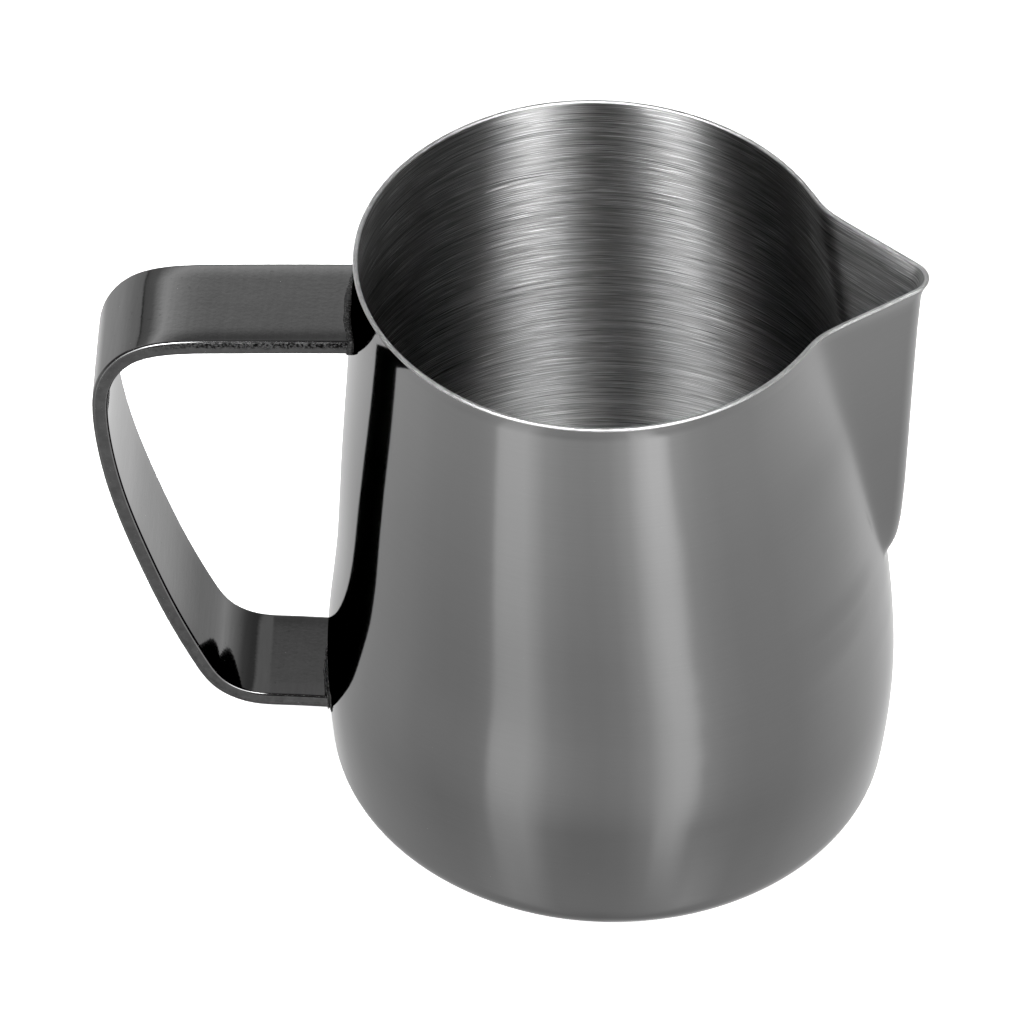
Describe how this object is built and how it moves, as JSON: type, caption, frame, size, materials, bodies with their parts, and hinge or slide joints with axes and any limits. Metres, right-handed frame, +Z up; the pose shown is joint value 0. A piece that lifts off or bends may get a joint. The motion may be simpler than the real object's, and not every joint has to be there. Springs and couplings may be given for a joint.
{
  "type": "milk frothing pitcher",
  "caption": "Steel milk frothing pitcher with a rounded belly, a pressed V pouring spout and a bent flat strap handle welded to its wall.",
  "frame": {"origin": "centre of the resting face under the foot", "axes": "+Z up along the cup's axis, +X towards the pouring spout, -X towards the handle, +Y across the cup"},
  "size_m": [0.1288, 0.0904, 0.105],
  "materials": {
    "body_steel": "mirror-polished dark steel outside, bare circumferentially brushed steel inside",
    "handle_steel": "polished dark steel faces, sheared satin edges",
    "weld": "rippled weld metal"
  },
  "bodies": {
    "root": {"pitcher_body": "body_steel", "strap_handle": "handle_steel", "upper_weld_bead": "weld", "lower_weld_bead": "weld"}
  },
  "joints": []
}
